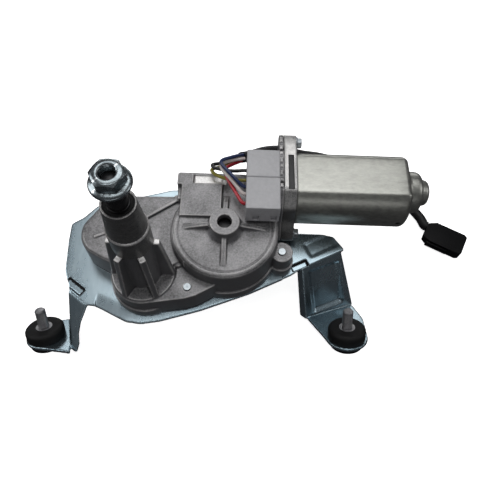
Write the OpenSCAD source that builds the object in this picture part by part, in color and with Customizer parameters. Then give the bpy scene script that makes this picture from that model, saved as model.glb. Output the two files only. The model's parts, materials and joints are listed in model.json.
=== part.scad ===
// Rear wiper drive: motor, worm gearbox, reciprocating linkage, shaft tower and mounting bracket.
// Heights are first counted from the foot of the shaft tower, with the output shaft on the Z axis,
// and from_base() then moves everything so that the origin is the middle of the tower's collar.

/* [Gearbox] */
// Worm wheel axis, along X from the output shaft
wheel_x = 43.4; // [43:0.1:44]
// Worm wheel axis, along Y from the output shaft
wheel_y = 23.8; // [23.6:0.1:24]
// Outer radius of the round gear case
case_r = 30; // [29.8:0.1:30.4]
// Height of the round gear face
face_z = 10; // [9.8:0.1:10.4]
// Height of the lower lobe face
lobe_z = 3; // [2.6:0.1:3.4]
// Wall thickness of the die casting
case_wall = 2.5; // [2.2:0.1:2.7]

/* [Shaft tower] */
// Diameter of the tower's foot
tower_foot_d = 36.3; // [36:0.1:37]
// Diameter of the cylindrical collar that seats in the body panel
collar_d = 20.5; // [20.3:0.1:21]
// Height at which the ribs end and the collar begins
collar_low_z = 38; // [37:0.5:39]
// Height of the collar's shoulder
collar_high_z = 53; // [52.5:0.5:54]
// Height of the tower's mouth
mouth_z = 73; // [72:0.5:74]
// Diameter of the output shaft
shaft_d = 10; // [9.9:0.05:10]

/* [Motor] */
// Motor axis, along Y from the output shaft
motor_y = 55.4; // [55.3:0.1:55.6]
// Diameter of the steel can
can_d = 41.2; // [41:0.1:41.6]
// Thickness of the can across its flats
can_flats = 33; // [32.6:0.1:33.4]
// X where the can begins
can_x = 83; // [83:0.1:83.4]
// Length of the can without its end domes
can_len = 65.2; // [64.4:0.2:65.8]

/* [Linkage] */
// Number of teeth on the worm wheel
wheel_teeth = 50; // [50:1:50]
// Crank pin's distance from the wheel axis
crank_r = 7.69; // [7.65:0.01:7.73]
// Length of the sector's lever arm
lever_len = 16; // [15.9:0.1:16.1]
// Module of the sector and pinion teeth
drive_module = 1.25; // [1.25:0.01:1.25]

/* [Bracket] */
// Thickness of the bracket's steel sheet
sheet = 2; // [1.6:0.1:2.2]
// Diameter of the rubber grommets
grommet_d = 22; // [21:0.5:23]
// Diameter of the mounting studs
stud_d = 6; // [6:0.5:6]
// Length of stud above its grommet
stud_out = 12; // [10:0.5:14]

/* [Hidden] */

$fn = 72;
gap = 0.3;
eps = 0.01;
collar_mid_z = (collar_low_z + collar_high_z) / 2;

// Levels of the casting and of the steel plates under it
rim_z = -16;
plate_z = -18;
ear_z = 0;
motor_z = 3.5;
mouth_d = 16;
mouth_bore = 13.6;
tower_bore = 14;
shaft_low_z = -13;
shaft_step_z = -3.3;
seat_z = 74;
seat_d = 9.8;
cone_z = 79;
thread_z = 83.5;
stub_z = 87.7;
shaft_top_z = 92;
nut_z = 88;

// Linkage at rest: the crank pin is on the line from the lever pin through the wheel axis
sector_x = -9.5;
sector_y = 20.4;
lever_angle = 125;
wheel_at = [wheel_x, wheel_y];
sector_at = [sector_x, sector_y];
lever_at = sector_at + lever_len * [cos(lever_angle), sin(lever_angle)];
rod_line = (wheel_at - lever_at) / norm(wheel_at - lever_at);
crank_at = wheel_at - crank_r * rod_line;
rod_low_z = -3.4;
rod_thick = 2.8;
pinion_teeth = 12;
sector_full_teeth = 24;
sector_low_z = -9;
sector_thick = 5;
mesh_angle = atan2(sector_y, sector_x);

// Worm set: single start, so the lead equals the wheel's circular pitch
worm_centre = motor_y - wheel_y;
worm_r = 4.4;
wheel_pitch_r = worm_centre - worm_r;
worm_lead = 2 * PI * wheel_pitch_r / wheel_teeth;
worm_root_r = 3.2;
worm_tip_r = 5.25;
wheel_mid_z = motor_z;
wheel_thick = 5;
chamber_r = case_r - 1.7;

// Stud tilt from the shaft axis, and the middle of each foot's upper side
stud_tilt = [-35, -5, 0];
foot_left = [-60.2, -26.3, -37.6];
foot_right = [116.8, -22.3, -33.4];
grommet_up = 6.5;
grommet_down = 4;

// Screws that hold bracket, cover and casting together: x, y and the height of the tip
case_screws = [[24.2, -8, 0.8], [76, 15, 0.8], [-32, 22, -6], [5, 42.5, -6]];
screw_d = 4;

// The motor's two screws lie diagonally across its axis
screw_across = [23, 13.4];

// Routes of the loose wires, then of the sheath that gathers them
wire_d = 2;
sheath_d = 6.5;
route_red = [[54.5, 36.2, 16.5], [52.8, 36.2, 16.5], [50, 41, 16.4], [47.1, 46.2, 16.4],
    [44.4, 51, 16.4], [42.6, 55.6, 16.4], [42.6, 59.2, 16.4], [44.6, 61.6, 15.6], [47.2, 64, 14.4],
    [49.4, 66, 13.2], [51.5, 67.9, 12.1]];
route_white = [[54.5, 41.7, 17.5], [52.9, 41.7, 17.5], [49.3, 45.6, 18.9], [45.9, 49.3, 20.2],
    [42.3, 53.2, 20.8], [39.9, 56.8, 20.9], [40.6, 59.8, 20.1], [43.2, 61.8, 19.2],
    [46.4, 63.9, 17.8], [49.8, 66.2, 15.9], [53, 68.3, 13.9]];
route_blue = [[54.5, 45.1, 19.5], [52.9, 45.1, 19.5], [49.1, 47.9, 21.8], [45.5, 51.3, 22.8],
    [42.1, 55.1, 23.2], [39.8, 58.2, 23.2], [40.8, 60.6, 22.6], [43.6, 62.6, 21.4],
    [46.4, 64.9, 19.8], [49.4, 67.6, 17.6], [52.2, 70.2, 15]];
route_yellow = [[54.5, 52, 15.5], [52.7, 52, 15.5], [48.4, 52.6, 14.4], [44, 53.4, 14],
    [39.6, 54.9, 14], [35.6, 56.8, 14.4], [34.2, 59.4, 14.4], [37, 61, 13.8], [41.4, 63.4, 13],
    [46, 66.6, 12.4], [49.9, 69.6, 12.1]];
route_black = [[54.5, 55.6, 20], [52.6, 55.6, 20], [48.3, 55.4, 19.4], [43.9, 56, 18.8],
    [39.4, 57, 18.6], [35.8, 58, 18.4], [34.6, 60.4, 17.8], [37.2, 61.8, 16.6], [41.4, 64, 15.5],
    [46, 67.2, 14.7], [50.3, 71, 13.9]];
sheath_floor_z = -50.75;
route_sheath = [[51.4, 69.4, 13.4], [55.5, 73.4, 9.2], [59.6, 77, 6.6], [64.8, 80.8, 4.2],
    [70.4, 83.4, 2.2], [76.6, 84.8, 0.6], [83, 85.2, -1.8], [90, 85.2, -3.8], [99, 85.2, -5.2],
    [108, 85, -7.6], [118, 85, -11], [128, 85, -15.6], [138, 85.2, -21.4], [147, 85.4, -28.6],
    [154.6, 85.8, -36.4], [161, 85.6, -43.8], [166.2, 83.6, -49.2], [170.8, 79.8, sheath_floor_z],
    [175.2, 74.4, sheath_floor_z], [178.6, 69, sheath_floor_z], [180.6, 63.9, sheath_floor_z],
    [182.2, 63.1, sheath_floor_z]];
connector_at = [180.1, 59.15, -50.25];
connector_yaw = -27;
connector_size = [26.9, 16, 7.5];

// ---------- helpers ----------

function unit(v) = v / norm(v);

// A corner replaced by a short curve that starts and ends at distance cut from it
function bend(a, b, c, cut, steps) =
    let (p = b + unit(a - b) * cut, q = b + unit(c - b) * cut)
    [for (i = [0:steps]) let (t = i / steps) p * (1 - t) * (1 - t) + b * 2 * t * (1 - t) + q * t * t];

function soft_outline(pts, cut, steps = 4) =
    let (n = len(pts))
    [for (i = [0:n - 1]) each bend(pts[(i + n - 1) % n], pts[i], pts[(i + 1) % n], cut, steps)];

module from_base() {
    translate([0, 0, -collar_mid_z]) children();
}

// A plate or prism between two heights
module between(low, high) {
    translate([0, 0, low]) linear_extrude(high - low) children();
}

module rod_of(low, high, d) {
    translate([0, 0, low]) cylinder(h = high - low, d = d);
}

// Local +Z runs along the motor axis, local X points down
module on_motor(x) {
    translate([x, motor_y, motor_z]) rotate([0, 90, 0]) children();
}

// Drawn in the plane across the motor axis: first coordinate along Y, second up
module across_motor(x, thick) {
    translate([x, motor_y, motor_z]) rotate([90, 0, 90]) linear_extrude(thick) children();
}

module on_foot(place) {
    translate(place) rotate(stud_tilt) children();
}

function ring(p, along, r, sides) =
    let (side = unit(cross(along, abs(along[2]) < 0.9 ? [0, 0, 1] : [0, 1, 0])), up = cross(side, along))
    [for (k = [0:sides - 1]) p + r * (cos(360 * k / sides) * side + sin(360 * k / sides) * up)];

// A round tube swept along a route
module tube(route, d, sides = 8) {
    last = len(route) - 1;
    rings = [for (i = [0:last])
        ring(route[i], unit(route[min(i + 1, last)] - route[max(i - 1, 0)]), d / 2, sides)];
    walls = [for (i = [0:last - 1]) for (k = [0:sides - 1])
        let (a = i * sides + k, b = i * sides + (k + 1) % sides) [a, b, b + sides, a + sides]];
    ends = [[for (k = [sides - 1:-1:0]) k], [for (k = [0:sides - 1]) last * sides + k]];
    polyhedron(points = [for (r = rings) each r], faces = concat(walls, ends), convexity = 6);
}

// Involute angle in degrees, and half the angle that a tooth covers at radius r
function inv(r, base_r) =
    r <= base_r ? 0 : let (t = sqrt(pow(r / base_r, 2) - 1)) t * 180 / PI - atan(t);
function tooth_half(r, pitch_r, base_r, half) = half + inv(pitch_r, base_r) - inv(r, base_r);

// One tooth as points from its right root to its left root, centred on an angle
function tooth(at, pitch_r, root_r, tip_r, half) =
    let (base_r = pitch_r * cos(20), steps = 4,
        radii = [for (i = [0:steps]) max(root_r, base_r) + (tip_r - max(root_r, base_r)) * i / steps],
        foot = tooth_half(max(root_r, base_r), pitch_r, base_r, half))
    concat(
        [root_r * [cos(at - foot), sin(at - foot)]],
        [for (r = radii) let (a = at - tooth_half(r, pitch_r, base_r, half)) r * [cos(a), sin(a)]],
        [for (i = [steps:-1:0]) let (r = radii[i], a = at + tooth_half(r, pitch_r, base_r, half))
            r * [cos(a), sin(a)]],
        [root_r * [cos(at + foot), sin(at + foot)]]);

// ---------- gearbox casting ----------

module lobe_outline() {
    polygon(soft_outline([[-14, 47.6], [-29, 40.6], [-37.8, 27], [-37.6, 18.5], [-33.6, 11.6],
        [-25.4, 7], [-14, 2], [10, 0], [40, 20], [30, 50], [16, 48.4]], 3));
}

module lobe_cavity() {
    polygon(soft_outline([[-13, 44.8], [-27.5, 38.4], [-35, 26], [-35, 19.4], [-31.5, 13.6], [-24, 9.8],
        [-6, 12], [30, 10], [46, 20], [34, 34], [16, 45.6]], 2));
}

module web_outline() {
    polygon([[2, -18], [23, -14.6], [29, -12.6], [40, -6], [50, 10], [20, 20], [0, 10]]);
}

// The outline of everything that the steel cover closes, grown by a rim
module skirt_outline(grow) {
    translate(wheel_at) circle(r = case_r + grow);
    circle(d = tower_foot_d + 2 * grow);
    lobe_outline();
    web_outline();
    translate([76, 15]) circle(r = 6.2 + grow);
    translate([16, 26]) square([57, 33]);
}

module tower_rib(angle) {
    rotate([90, 0, angle]) translate([0, 0, -1.6])
        linear_extrude(3.2) polygon([[8, -1], [17.6, -1], [17.2, 1.5], [13.1, collar_low_z],
            [8, collar_low_z]]);
}

module face_rib(angle, reach, out = 10) {
    translate([wheel_x, wheel_y, 0]) rotate([90, 0, angle]) translate([0, 0, -1.3])
        linear_extrude(2.6) polygon([[5, face_z - 1], [reach, face_z - 1], [reach, face_z + 0.3],
            [out, face_z + 4.4], [5, face_z + 5]]);
}

module tower_solid() {
    rod_of(rim_z, 0, tower_foot_d);
    rod_of(0, 1.4, tower_foot_d - 2);
    rod_of(0, collar_low_z + 1, 19.4);
    rod_of(collar_low_z, collar_high_z, collar_d);
    rod_of(collar_high_z - 1, mouth_z, mouth_d);
    translate([0, 0, collar_high_z]) cylinder(h = mouth_z - collar_high_z, d1 = 19.2, d2 = mouth_d);
    for (a = [0, 90, 180, 240, 300]) tower_rib(a);
}

module worm_block() {
    difference() {
        translate([17.8, 30, rim_z]) cube([23.2, 28, 12 - rim_z]);
        translate([24, 51.6, 11.2]) cube([20, 10, 2]);
    }
    translate([15, 50.7, -6]) cube([9, 7.3, 18]);
    translate([15.6, 43, -6]) cube([4, 9, 14]);
    on_motor(15) cylinder(h = 59, r = 7.2);
    translate([40, 40, rim_z]) cube([33.5, 17, 26]);
}

module flange_outline() {
    polygon(soft_outline([for (s = [1, -1]) each [for (p = [[-12, 17.5], [26, 17.5], [28.6, 12],
        [21.8, 0], [20, -9]]) s * p]], 2.4));
}

module casting_solid() {
    between(rim_z, rim_z + 6) skirt_outline(1.2);
    between(rim_z, face_z) translate(wheel_at) circle(r = case_r);
    between(rim_z, lobe_z) lobe_outline();
    between(rim_z, ear_z) web_outline();
    translate([wheel_x, wheel_y, 0]) {
        rod_of(face_z - 1, 18, 16.6);
        translate([0, 0, face_z]) cylinder(h = 3, d1 = 20, d2 = 16.6);
    }
    for (a = [0, 180, 270]) face_rib(a, 23);
    face_rib(90, 20, 14);
    tower_solid();
    worm_block();
    translate([76, 15, 0]) rod_of(rim_z, ear_z, 12.4);
    translate([24.2, -8, 0]) rod_of(rim_z, ear_z, 9.6);
    across_motor(73, 3) flange_outline();
    across_motor(66, 8) translate(-screw_across) circle(r = 5.2);
    across_motor(66, 8) polygon([[-27, -16], [-10, -17], [10, -17], [17, 0], [0, 9], [-20, 4]]);
    translate([18.2, 5.5, -10]) cylinder(h = 12, d = 4.6);
    translate([-2.6, 31.6, lobe_z - 1]) rotate([0, 0, 35.5]) translate([0, -0.9, 0])
        cube([25.4, 1.8, 3]);
    translate([-29.6, 19, lobe_z - 1]) rotate([0, 0, 25]) translate([0, -0.8, 0]) cube([14, 1.6, 2]);
}

module casting_hollow() {
    translate([wheel_x, wheel_y, 0]) {
        rod_of(rim_z - 1, face_z - case_wall, 2 * chamber_r);
        rod_of(0, 19, 8);
    }
    difference() {
        union() {
            between(rim_z - 1, lobe_z - case_wall) lobe_cavity();
            rod_of(rim_z - 1, lobe_z - case_wall, 20);
            translate([sector_x, sector_y, 0]) rod_of(rim_z - 1, lobe_z - case_wall, 33.4);
        }
        for (s = [2, 3]) translate([case_screws[s][0], case_screws[s][1], 0]) rod_of(rim_z, 2, 7);
        translate([sector_x, sector_y, 0]) rod_of(sector_low_z + sector_thick + gap, 2, 11.6);
    }
    translate([sector_x, sector_y, 0]) rod_of(-5, 1.5, 8);
    rod_of(-1, 49, tower_bore);
    rod_of(48, mouth_z + 1, mouth_bore);
    on_motor(22) cylinder(h = 46, r = worm_tip_r + 0.35);
    on_motor(15.9) cylinder(h = 7, r = 4.5);
    on_motor(67.9) cylinder(h = 10, r = 7);
    for (s = case_screws) translate([s[0], s[1], 0]) rod_of(rim_z - 1, s[2] + 0.3, screw_d);
    for (s = [1, -1]) across_motor(68, 9) translate(s * screw_across) circle(d = screw_d);
    across_motor(72, 5) translate([14, 15.6]) square([2.6, 4]);
    across_motor(72, 5) translate([-10, 15.6]) square([3, 4]);
}

module gear_housing() {
    color("#8d8e92") from_base() difference() {
        casting_solid();
        casting_hollow();
    }
}

module housing_cover() {
    color("#6f7276") from_base() difference() {
        between(plate_z, rim_z - 0.6) skirt_outline(0.9);
        for (s = case_screws) translate([s[0], s[1], 0]) rod_of(plate_z - 1, rim_z + 1, screw_d + 0.4);
    }
}

// Paper-thin seal ring around the case edge
module housing_gasket() {
    color("#26272a") from_base() difference() {
        between(rim_z - 0.6, rim_z) skirt_outline(0.9);
        between(rim_z - 1, rim_z + 1) union() {
            lobe_cavity();
            translate(wheel_at) circle(r = chamber_r);
            circle(d = 20);
            translate(sector_at) circle(d = 33.4);
        }
        for (s = case_screws) translate([s[0], s[1], 0]) rod_of(rim_z - 1, rim_z + 1, screw_d + 0.4);
    }
}

module housing_screws() {
    color("#b9bcc0") from_base() for (s = case_screws) translate([s[0], s[1], 0]) {
        rod_of(plate_z - sheet - 3, plate_z - sheet, 7.6);
        rod_of(plate_z - sheet - eps, s[2], screw_d);
    }
}

// ---------- bracket and feet ----------

function plate_points() = [[-51.4, 38.4], [-44.6, 43.1], [-37.4, 51.6], [7.8, 65.1], [45, 67],
    [72, 62], [83, 37], [102.5, 36.9], [109.2, 35.8], [116, 26.5], [112.9, 25.7], [89.5, 13.6],
    [82.9, 8.8], [58.9, -3.3], [30.7, -14.6], [8, -21.6], [-2.3, -23.4], [-10.8, -22.5],
    [-28.6, -14], [-33.4, -13.6], [-45, -5.6], [-49.8, 7.4], [-51.2, 27]];

// A sheet-metal panel with rounded edges through points of its middle surface
module panel(points) {
    hull() for (p = points) translate(p) sphere(d = sheet, $fn = 16);
}

module foot_tab(place, points, r) {
    on_foot(place) translate([0, 0, -sheet]) linear_extrude(sheet) difference() {
        union() {
            polygon(soft_outline(points, 1.6));
            circle(r = r);
        }
        circle(d = 14);
    }
}

module mounting_bracket() {
    mid = plate_z - sheet / 2;
    color("#a9b4ba") from_base() {
        difference() {
            between(plate_z - sheet, plate_z) polygon(soft_outline(plate_points(), 1.6));
            for (s = case_screws) translate([s[0], s[1], 0]) rod_of(-30, 0, screw_d + 0.4);
        }
        panel([[89.8, 14.2, mid], [112.6, 26, mid], [95, -7.2, -46.6], [125, 4.6, -52]]);
        panel([[89.8, 14.2, mid], [95, -7.2, -46.6], [92.6, -4.4, -49], [88, 17, mid - 3.4]]);
        panel([[112.6, 26, mid], [125, 4.6, -52], [123.6, 8.4, -53], [112.6, 29.6, mid - 3.4]]);
        panel([[-44.6, -6, mid], [-34.4, -13.4, mid], [-38, -22, -24.2], [-43.2, -21, -25.7]]);
        panel([[-38, -22, -24.2], [-43.2, -21, -25.7], [-39, -28, -27.4], [-41.9, -29, -29]]);
        panel([[-39, -28, -27.4], [-41.9, -29, -29], [-38.4, -33, -29.6], [-39.4, -36.4, -31.4],
            [-41, -35.5, -31.9]]);
        panel([[-44.6, -6, mid], [-49.6, -13.8, -46.4], [-41, -35.5, -31.9]]);
        foot_tab(foot_left, [[-2, 14], [9, 16.4], [19.4, -14.6], [10.9, -13.2], [-3.5, -11.2]], 11.4);
        foot_tab(foot_right, [[-22.4, 18.6], [7.4, 31.8], [12.2, 17.4], [12.4, 0], [0, -8],
            [-10.2, -7.7], [-14.5, 2.2]], 12.4);
    }
}

module grommet(place) {
    color("#17181a") from_base() on_foot(place) rotate_extrude()
        polygon([[4.6, -sheet - grommet_down], [9.6, -sheet - grommet_down], [10.4, -sheet - 1],
            [10.4, -sheet], [7, -sheet], [7, 0], [grommet_d / 2, 0], [grommet_d / 2, 5],
            [grommet_d / 2 - 1.5, grommet_up], [4.6, grommet_up]]);
}

module grommet_left() {
    grommet(foot_left);
}

module grommet_right() {
    grommet(foot_right);
}

module sleeve(place) {
    color("#9a9da0") from_base() on_foot(place) difference() {
        rod_of(-sheet - grommet_down, grommet_up, 9.2);
        rod_of(-20, 20, stud_d + 0.2);
    }
}

module sleeve_left() {
    sleeve(foot_left);
}

module sleeve_right() {
    sleeve(foot_right);
}

module stud(place) {
    low = -sheet - grommet_down;
    color("#8b8e92") from_base() on_foot(place) {
        rod_of(low - 1.8, low, 13);
        rod_of(low - eps, grommet_up - 0.6, stud_d - 0.1);
        rod_of(grommet_up - 0.7, grommet_up, stud_d - 0.8);
        rod_of(grommet_up - eps, grommet_up + stud_out, stud_d);
    }
}

module stud_left() {
    stud(foot_left);
}

module stud_right() {
    stud(foot_right);
}

// ---------- worm wheel and linkage ----------

module worm_wheel() {
    tip = wheel_pitch_r + 0.8;
    root = wheel_pitch_r - 1.2;
    half = 90 / wheel_teeth * 0.62;
    low = wheel_mid_z - wheel_thick / 2;
    color("#e8e4d4") from_base() translate([wheel_x, wheel_y, 0]) difference() {
        union() {
            translate([0, 0, low]) linear_extrude(wheel_thick) polygon([for (k = [0:wheel_teeth - 1])
                let (a = 90 + (k + 0.5) * 360 / wheel_teeth) each [
                    root * [cos(a - 1.7 * half), sin(a - 1.7 * half)],
                    tip * [cos(a - 0.75 * half), sin(a - 0.75 * half)],
                    tip * [cos(a + 0.75 * half), sin(a + 0.75 * half)],
                    root * [cos(a + 1.7 * half), sin(a + 1.7 * half)]]]);
            rod_of(0, 6.8, 22);
        }
        difference() {
            rod_of(4.2, 7, 42);
            rod_of(4, 7, 24);
        }
        rod_of(-1, 8, 8);
        translate([crank_at[0] - wheel_x, crank_at[1] - wheel_y, 0]) rod_of(-1, 8, 5);
    }
}

// Stub that the wheel turns on, pressed into the casting's boss
module wheel_axle() {
    color("#9fa3a8") from_base() translate([wheel_x, wheel_y, 0]) {
        rod_of(0.2, 7.2, 7.9);
        rod_of(7.2, 12, 8);
    }
}

module crank_pin() {
    color("#b4b7bb") from_base() translate([crank_at[0], crank_at[1], 0]) {
        rod_of(-0.3, 6.8, 5);
    }
}

module park_disc() {
    color("#c9a24a") from_base() translate([wheel_x, wheel_y, 0]) difference() {
        rod_of(0.6, 1, 40);
        rod_of(0, 2, 27);
        rotate([0, 0, 20]) translate([15, -3, 0]) cube([8, 6, 2]);
    }
}

module park_contacts() {
    color("#c9a24a") from_base() translate([wheel_x, wheel_y, 0]) for (i = [0:2])
        rotate([0, 0, -72 + i * 14]) translate([14.6 + i * 1.6, -1, 0]) {
            translate([0, 0, -12]) cube([1, 2, 12.3]);
            translate([-0.4, 0, -12]) cube([1.8, 2, 1]);
        }
}

module contact_carrier() {
    color("#3a3b3e") from_base() difference() {
        translate([wheel_x, wheel_y, 0]) rotate([0, 0, -58]) translate([11, -9, rim_z - 0.6])
            cube([12, 18, 4.6]);
        for (s = case_screws) translate([s[0], s[1], 0]) rod_of(-20, 0, 8);
    }
}

module connecting_rod() {
    color("#a3a6aa") from_base() between(rod_low_z, rod_low_z + rod_thick) difference() {
        union() {
            translate(lever_at) circle(r = 5.2);
            translate(crank_at) circle(r = 6.4);
            translate(lever_at) rotate(atan2(rod_line[1], rod_line[0]))
                translate([0, -3.6]) square([norm(crank_at - lever_at), 7.2]);
        }
        translate(lever_at) circle(d = 5.1);
        translate(crank_at) circle(d = 8.2);
    }
}

module sector_gear() {
    pitch_r = drive_module * sector_full_teeth / 2;
    root_r = pitch_r - 1.2 * drive_module;
    half = 90 / sector_full_teeth * 0.9;
    first = mesh_angle + 180 - 7.5;
    color("#8f9296") from_base() between(sector_low_z, sector_low_z + sector_thick)
        translate(sector_at) difference() {
            union() {
                circle(r = 7.6);
                polygon(concat([[0, 0]], [for (k = [0:5])
                    each tooth(first + k * 15, pitch_r, root_r, pitch_r + 0.95 * drive_module, half)]));
                rotate(lever_angle) translate([0, -4.6]) square([lever_len, 9.2]);
                rotate(lever_angle) translate([lever_len, 0]) circle(r = 5);
            }
            circle(d = 8.1);
            rotate(lever_angle) translate([lever_len, 0]) circle(d = 5);
        }
}

module sector_pin() {
    color("#b4b7bb") from_base() translate([sector_x, sector_y, 0]) {
        rod_of(-10.8, 1.5, 8);
        rod_of(-11.6, -9.2, 11);
    }
}

module lever_pin() {
    color("#b4b7bb") from_base() translate([lever_at[0], lever_at[1], 0]) {
        rod_of(-9, -0.2, 5);
    }
}

module output_pinion() {
    pitch_r = drive_module * pinion_teeth / 2;
    half = 90 / pinion_teeth * 0.9;
    color("#85888c") from_base() between(-9.5, shaft_step_z) difference() {
        polygon([for (k = [0:pinion_teeth - 1]) each tooth(mesh_angle + k * 360 / pinion_teeth,
            pitch_r, pitch_r - 1.2 * drive_module, pitch_r + 0.95 * drive_module, half)]);
        circle(d = 8);
    }
}

module output_shaft() {
    color("#2b2c2e") from_base() difference() {
        union() {
            rod_of(shaft_low_z, shaft_step_z, 8);
            rod_of(shaft_step_z, seat_z - 0.6, shaft_d);
            rod_of(seat_z - 0.7, seat_z, shaft_d - 1);
            rod_of(seat_z - eps, cone_z, seat_d);
            translate([0, 0, cone_z]) cylinder(h = thread_z - cone_z, d1 = seat_d, d2 = 8);
            rod_of(thread_z - eps, stub_z, 7.9);
            rod_of(stub_z - eps, shaft_top_z, 6.5);
        }
        difference() {
            rod_of(62.2, 63.3, 12);
            rod_of(62, 64, 9.2);
        }
    }
}

// ---------- tower fittings ----------

module hollow(low, high, outer, inner) {
    difference() {
        rod_of(low, high, outer);
        rod_of(low - 1, high + 1, inner);
    }
}

module lower_bush() {
    color("#b98a4e") from_base() hollow(1.2, 15, tower_bore, shaft_d + 0.1);
}

module upper_bush() {
    color("#b98a4e") from_base() hollow(50, 62, mouth_bore, shaft_d + 0.1);
}

module thrust_washer() {
    color("#c5c8cc") from_base() hollow(0.2, 1.1, 13.6, shaft_d + 0.3);
}

module retaining_ring() {
    color("#55585c") from_base() difference() {
        hollow(62.2, 63.2, 11.6, 9.2);
        translate([4, -1.2, 60]) cube([4, 2.4, 6]);
    }
}

module shaft_seal() {
    color("#141416") from_base() hollow(66, 72, mouth_bore, shaft_d + 0.1);
}

module flange_nut() {
    color("#c7ccd2") from_base() translate([0, 0, nut_z]) difference() {
        union() {
            cylinder(h = 1.3, d = 17.9);
            translate([0, 0, 1.3]) cylinder(h = 1.5, d1 = 17.9, d2 = 13);
            intersection() {
                rotate([0, 0, 30]) cylinder(h = 8, d = 15, $fn = 6);
                rotate_extrude() polygon([[0, 0], [8, 0], [8, 6.8], [5.8, 8], [0, 8]]);
            }
        }
        translate([0, 0, -1]) cylinder(h = 12, d = 6.66);
        translate([0, 0, 7.4]) cylinder(h = 1, d1 = 6.66, d2 = 8.1);
    }
}

// ---------- motor ----------

module can_section(inset) {
    intersection() {
        circle(d = can_d - 2 * inset, $fn = 96);
        square([can_d, can_flats - 2 * inset], center = true);
    }
}

module motor_can() {
    end_x = can_x + can_len;
    color("#b7b8b2") from_base() difference() {
        union() {
            hull() {
                across_motor(can_x, can_len - 3) can_section(0);
                across_motor(end_x - 1.6, 0.8) can_section(0.8);
                across_motor(end_x - 0.4, 0.4) can_section(2.6);
            }
            on_motor(end_x - 1) rotate_extrude() polygon([[0, 0], [12.2, 0], [12.2, 7.4], [11.4, 9.4],
                [9.2, 10.2], [7.7, 10.3], [7.7, 12.2], [6.8, 14.2], [4.8, 15], [0, 15]]);
        }
        across_motor(can_x - 1, can_len - 2) can_section(1.8);
        on_motor(end_x - 4) cylinder(h = 10.8, r = 9.3);
        on_motor(end_x) cylinder(h = 12.6, r = 4);
        on_motor(end_x - 3) translate([13.6, -12.4, 0]) cylinder(h = 6, d = 2.2);
    }
}

module end_plate() {
    color("#a8aaa8") from_base() difference() {
        across_motor(76, can_x - 76) flange_outline();
        on_motor(70) cylinder(h = 20, r = 13.6);
        for (s = [1, -1]) across_motor(70, 20) translate(s * screw_across) circle(d = screw_d);
        translate([78.2, motor_y - 11.6, motor_z + 3.8]) cube([3.3, 23.2, 18]);
    }
}

module motor_screws() {
    color("#8e9195") from_base() for (s = [1, -1]) {
        across_motor(73.2, can_x - 73.2) translate(s * screw_across) circle(d = screw_d - 0.02);
        across_motor(can_x, 3.4) translate(s * screw_across) circle(d = 7.4);
    }
}

module brush_holder() {
    color("#1b1c1f") from_base() difference() {
        union() {
            on_motor(76.4) cylinder(h = 7, r = 13.2);
            translate([78.4, motor_y - 11.4, motor_z + 4]) cube([2.9, 22.8, 13]);
            on_motor(83.2) cylinder(h = 2.6, r = 14.4);
            for (s = [1, -1]) translate([84, motor_y + s * 11 - 3.6, motor_z - 3.5]) cube([8, 7.2, 7]);
        }
        on_motor(70) cylinder(h = 30, r = 7.2);
        for (s = [1, -1]) translate([86, motor_y + s * 11 - 8, motor_z - 2.2]) cube([4.4, 16, 4.4]);
    }
}

module carbon_brushes() {
    color("#3c3d40") from_base() for (s = [1, -1])
        translate([86.2, motor_y + s * 9.4 - 2.6, motor_z - 2]) cube([4, 5.2, 4]);
}

module brush_springs() {
    color("#a7aaae") from_base() for (s = [1, -1]) for (k = [0:2])
        translate([88.2, motor_y + s * (12.7 + k * 0.7), motor_z]) rotate([s * -90, 0, 0])
            rotate_extrude() translate([1.3, 0]) circle(d = 0.5, $fn = 16);
}

module choke_coils() {
    color("#b5652b") from_base() for (s = [1, -1])
        translate([86.4, motor_y + s * 7.6, motor_z + 9.6]) rotate([0, 90, 0]) {
            cylinder(h = 9, d = 4.4);
            translate([0, 0, -0.4]) cylinder(h = 9.8, d = 2.6);
        }
}

module commutator() {
    color("#b8733a") from_base() difference() {
        on_motor(85.4) cylinder(h = 9, r = 6.4);
        on_motor(80) cylinder(h = 20, d = 6);
        for (a = [0:45:315]) on_motor(85) rotate([0, 0, a]) translate([5.9, -0.2, 0]) cube([1, 0.4, 10]);
    }
}

// One turn of the worm's thread is cut into short steps along a helix
module worm_thread(from_x, turns, steps = 20) {
    n = turns * steps;
    section = [[worm_root_r - 0.6, -0.95], [worm_root_r - 0.6, 0.95], [worm_tip_r, 0.36],
        [worm_tip_r, -0.36]];
    pts = [for (i = [0:n]) for (p = section) let (a = 360 * i / steps)
        [p[0] * cos(a), p[0] * sin(a), worm_lead * i / steps + p[1]]];
    walls = [for (i = [0:n - 1]) for (k = [0:3]) let (a = i * 4 + k, b = i * 4 + (k + 1) % 4)
        each [[a, b, b + 4], [a, b + 4, a + 4]]];
    ends = [[3, 2, 1, 0], [n * 4, n * 4 + 1, n * 4 + 2, n * 4 + 3]];
    on_motor(from_x) polyhedron(points = pts, faces = concat(walls, ends), convexity = 10);
}

// The thread meets the wheel where a tooth space points straight at the worm
module worm() {
    color("#9b9ea3") from_base() worm_thread(wheel_x - 3.75 * worm_lead, 7);
}

module armature_shaft() {
    color("#9b9ea3") from_base() {
        on_motor(17) cylinder(h = 6, d = 6);
        on_motor(22.4) cylinder(h = 44.6, r = worm_root_r);
        on_motor(67) cylinder(h = can_x + can_len + 10.5 - 67, d = 6);
    }
}

module armature_core() {
    color("#8b8d90") from_base() difference() {
        on_motor(106) cylinder(h = 22, r = 13);
        on_motor(100) cylinder(h = 40, d = 6);
        for (a = [0:45:315]) on_motor(100) rotate([0, 0, a]) translate([10.6, -0.9, 0]) cube([4, 1.8, 40]);
    }
}

module armature_windings() {
    color("#b5652b") from_base() for (x = [97.6, 128]) difference() {
        on_motor(x) cylinder(h = 8.4, r = 11.4);
        on_motor(x - 1) cylinder(h = 12, d = 6);
    }
}

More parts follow.
